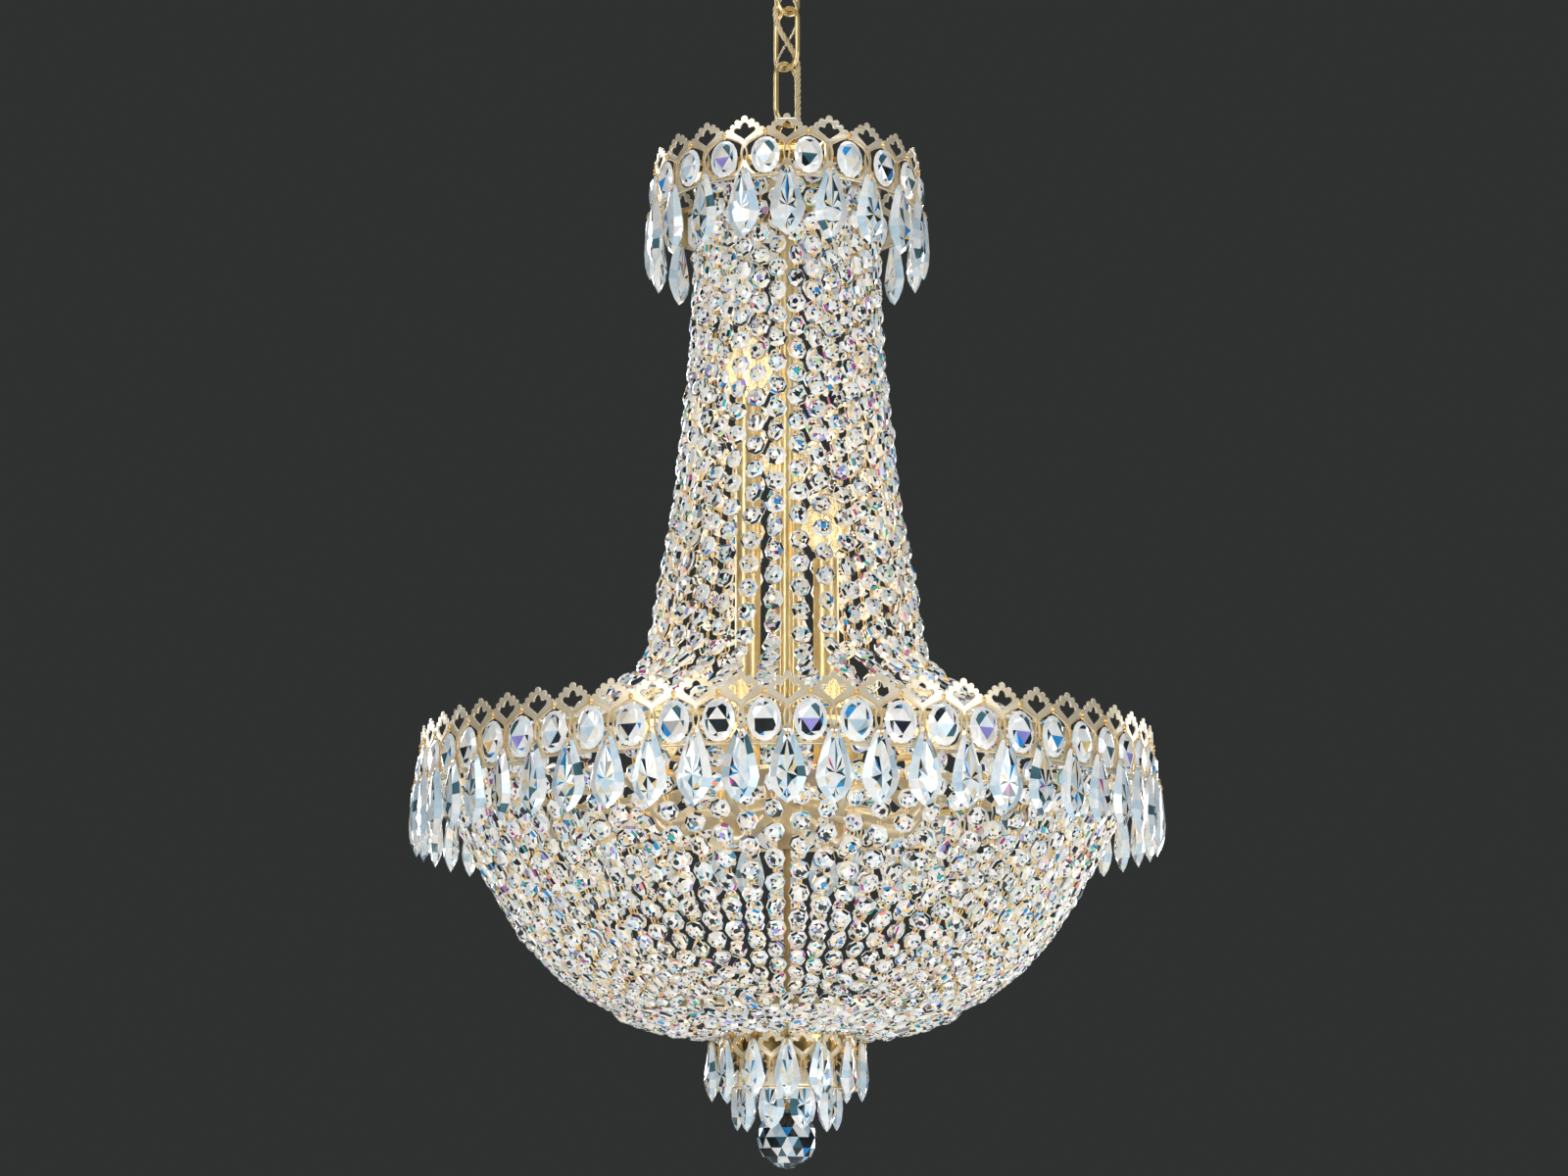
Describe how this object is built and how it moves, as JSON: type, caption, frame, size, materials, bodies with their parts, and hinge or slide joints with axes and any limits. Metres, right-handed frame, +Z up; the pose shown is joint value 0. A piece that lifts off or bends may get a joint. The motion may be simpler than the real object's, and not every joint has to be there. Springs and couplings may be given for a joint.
{
  "type": "crystal basket chandelier",
  "caption": "Crystal basket chandelier: beaded neck and bowl between three filigree crowns with faceted drops, lamp arms inside, hung on a brass chain from a ceiling canopy.",
  "frame": {"origin": "centre of the canopy's ceiling face", "axes": "+Z up along the chain and stem, towards the ceiling; -Y towards the viewer; +X to the viewer's right"},
  "size_m": [0.509, 0.509, 0.92],
  "materials": {
    "polished_brass": "polished",
    "filigree_metal": "pale champagne gold plate, satin",
    "zinc_steel": "zinc plated",
    "gold_cord": "braided sleeve with a bare ground wire",
    "cut_crystal": "faceted and polished",
    "crystal_beads": "faceted beads joined by brass pins",
    "candle_cover": "gold tone",
    "socket_plastic": "moulded",
    "black_wire": "insulated wire",
    "bulb_glass": "clear warm candle bulb"
  },
  "bodies": {
    "ceiling": {"ceiling_canopy": "polished_brass", "mounting_strap": "zinc_steel", "canopy_nipple": "polished_brass", "canopy_loop": "polished_brass"},
    "link_1": {"chain_link_1": "polished_brass", "lamp_cord_1": "gold_cord"},
    "link_2": {"chain_link_2": "polished_brass", "lamp_cord_2": "gold_cord"},
    "link_3": {"chain_link_3": "polished_brass", "lamp_cord_3": "gold_cord"},
    "fixture": {"lamp_cord_4": "gold_cord", "top_loop": "polished_brass", "top_cap": "polished_brass", "centre_stem": "polished_brass", "bowl_rod": "polished_brass", "top_spider": "polished_brass", "top_hoop": "polished_brass", "top_gallery": "filigree_metal", "top_ovals": "cut_crystal", "top_drops": "cut_crystal", "neck_strands": "crystal_beads", "shoulder_strands": "crystal_beads", "rim_spider": "polished_brass", "rim_hoop": "polished_brass", "rim_gallery": "filigree_metal", "rim_ovals": "cut_crystal", "rim_drops": "cut_crystal", "bowl_strands": "crystal_beads", "middle_hoop": "polished_brass", "bottom_strands": "crystal_beads", "bottom_dish": "polished_brass", "bottom_gallery": "filigree_metal", "bottom_drops": "cut_crystal", "drop_pins": "polished_brass", "drop_staples": "polished_brass", "ball_eye": "polished_brass", "arm_hub": "polished_brass", "lamp_arms": "polished_brass", "arm_wires": "black_wire", "candle_cups": "polished_brass", "candle_sleeves": "candle_cover", "lamp_sockets": "socket_plastic", "candle_bulbs": "bulb_glass", "neck_tubes": "polished_brass", "neck_sockets": "socket_plastic", "neck_bulbs": "bulb_glass"},
    "ball": {"crystal_ball": "cut_crystal"},
    "drop_1": {"lower_drop_1": "cut_crystal"},
    "drop_2": {"lower_drop_2": "cut_crystal"},
    "drop_3": {"lower_drop_3": "cut_crystal"},
    "drop_4": {"lower_drop_4": "cut_crystal"},
    "drop_5": {"lower_drop_5": "cut_crystal"},
    "drop_6": {"lower_drop_6": "cut_crystal"},
    "drop_7": {"lower_drop_7": "cut_crystal"},
    "drop_8": {"lower_drop_8": "cut_crystal"},
    "drop_9": {"lower_drop_9": "cut_crystal"},
    "drop_10": {"lower_drop_10": "cut_crystal"}
  },
  "joints": [
    {"name": "canopy_to_chain", "type": "hinge", "parent": "ceiling", "child": "link_1", "pos_m": [0, 0, -0.05825], "axis": [0.7071, -0.7071, 0], "range_deg": [-15, 15], "deforming": ["lamp_cord_1"]},
    {"name": "chain_upper", "type": "hinge", "parent": "link_1", "child": "link_2", "pos_m": [0, 0, -0.10095], "axis": [0.7071, 0.7071, 0], "range_deg": [-15, 15], "deforming": ["lamp_cord_2"]},
    {"name": "chain_lower", "type": "hinge", "parent": "link_2", "child": "link_3", "pos_m": [0, 0, -0.14365], "axis": [0.7071, -0.7071, 0], "range_deg": [-15, 15], "deforming": ["lamp_cord_3"]},
    {"name": "chain_to_fixture", "type": "hinge", "parent": "link_3", "child": "fixture", "pos_m": [0, 0, -0.18635], "axis": [0.7071, 0.7071, 0], "range_deg": [-10, 10], "deforming": ["lamp_cord_4"]},
    {"name": "drop_1_swing", "type": "hinge", "parent": "fixture", "child": "drop_1", "pos_m": [0.033, 0, -0.851], "axis": [0, -1, 0], "range_deg": [-1, 15]},
    {"name": "drop_2_swing", "type": "hinge", "parent": "fixture", "child": "drop_2", "pos_m": [0.0267, 0.0194, -0.851], "axis": [0.5878, -0.809, 0], "range_deg": [-1, 15]},
    {"name": "drop_3_swing", "type": "hinge", "parent": "fixture", "child": "drop_3", "pos_m": [0.0102, 0.03139, -0.851], "axis": [0.9511, -0.309, 0], "range_deg": [-1, 15]},
    {"name": "drop_4_swing", "type": "hinge", "parent": "fixture", "child": "drop_4", "pos_m": [-0.0102, 0.03139, -0.851], "axis": [0.9511, 0.309, 0], "range_deg": [-1, 15]},
    {"name": "drop_5_swing", "type": "hinge", "parent": "fixture", "child": "drop_5", "pos_m": [-0.0267, 0.0194, -0.851], "axis": [0.5878, 0.809, 0], "range_deg": [-1, 15]},
    {"name": "drop_6_swing", "type": "hinge", "parent": "fixture", "child": "drop_6", "pos_m": [-0.033, 0, -0.851], "axis": [0, 1, 0], "range_deg": [-1, 15]},
    {"name": "drop_7_swing", "type": "hinge", "parent": "fixture", "child": "drop_7", "pos_m": [-0.0267, -0.0194, -0.851], "axis": [-0.5878, 0.809, 0], "range_deg": [-1, 15]},
    {"name": "drop_8_swing", "type": "hinge", "parent": "fixture", "child": "drop_8", "pos_m": [-0.0102, -0.03139, -0.851], "axis": [-0.9511, 0.309, 0], "range_deg": [-1, 15]},
    {"name": "drop_9_swing", "type": "hinge", "parent": "fixture", "child": "drop_9", "pos_m": [0.0102, -0.03139, -0.851], "axis": [-0.9511, -0.309, 0], "range_deg": [-1, 15]},
    {"name": "drop_10_swing", "type": "hinge", "parent": "fixture", "child": "drop_10", "pos_m": [0.0267, -0.0194, -0.851], "axis": [-0.5878, -0.809, 0], "range_deg": [-1, 15]},
    {"name": "ball_swing", "type": "hinge", "parent": "fixture", "child": "ball", "pos_m": [0, 0, -0.8635], "axis": [0, 1, 0], "range_deg": [-8, 8]}
  ]
}
